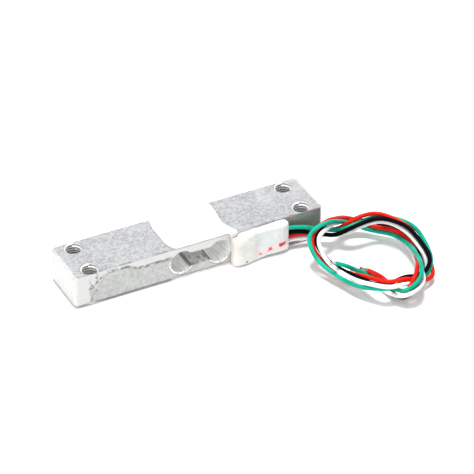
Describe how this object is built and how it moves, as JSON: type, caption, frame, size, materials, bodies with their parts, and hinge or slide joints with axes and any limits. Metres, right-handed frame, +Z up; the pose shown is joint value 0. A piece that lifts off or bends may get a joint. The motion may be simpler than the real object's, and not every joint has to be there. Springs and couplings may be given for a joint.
{
  "type": "strain gauge load cell",
  "caption": "Small rectangular aluminium load cell bar with a dog-bone cut-out, tapped mounting holes, silicone covered strain gauges and thin loose coloured lead wires.",
  "frame": {"origin": "centre of the four mounting holes, on the bar's underside", "axes": "+X along the bar towards the end that the wires leave to, -Y on the side with the wires, +Z up, from the underside to the top"},
  "size_m": [0.0593, 0.0353, 0.007],
  "materials": {
    "aluminium": "fine blasted top and bottom, milled sides",
    "silicone": "smooth cured white silicone",
    "board": "solder mask with tinned pads",
    "polyimide": "clear amber film",
    "foil": "etched foil",
    "enamelled_copper": "enamelled",
    "solder": "bright solder",
    "tinned_copper": "tinned strands",
    "insulation_green": "soft gloss",
    "insulation_black": "soft gloss",
    "insulation_red": "soft gloss",
    "insulation_white": "soft gloss"
  },
  "bodies": {
    "root": {"bar": "aluminium", "top_sealant": "silicone", "bottom_sealant": "silicone", "terminal_boot": "silicone", "terminal_board": "board", "gauge_carrier_top_left": "polyimide", "gauge_grid_top_left": "foil", "gauge_carrier_top_right": "polyimide", "gauge_grid_top_right": "foil", "gauge_lead_top_1": "enamelled_copper", "lead_solder_top_1": "solder", "gauge_lead_top_2": "enamelled_copper", "lead_solder_top_2": "solder", "gauge_lead_top_3": "enamelled_copper", "lead_solder_top_3": "solder", "gauge_lead_top_4": "enamelled_copper", "lead_solder_top_4": "solder", "gauge_carrier_bottom_left": "polyimide", "gauge_grid_bottom_left": "foil", "gauge_carrier_bottom_right": "polyimide", "gauge_grid_bottom_right": "foil", "gauge_lead_bottom_1": "enamelled_copper", "lead_solder_bottom_1": "solder", "gauge_lead_bottom_2": "enamelled_copper", "lead_solder_bottom_2": "solder", "gauge_lead_bottom_3": "enamelled_copper", "lead_solder_bottom_3": "solder", "gauge_lead_bottom_4": "enamelled_copper", "lead_solder_bottom_4": "solder", "wire_green": "insulation_green", "wire_tip_green": "tinned_copper", "wire_core_green": "tinned_copper", "wire_solder_green": "solder", "wire_black": "insulation_black", "wire_tip_black": "tinned_copper", "wire_core_black": "tinned_copper", "wire_solder_black": "solder", "wire_red": "insulation_red", "wire_tip_red": "tinned_copper", "wire_core_red": "tinned_copper", "wire_solder_red": "solder", "wire_white": "insulation_white", "wire_tip_white": "tinned_copper", "wire_core_white": "tinned_copper", "wire_solder_white": "solder"}
  },
  "joints": []
}
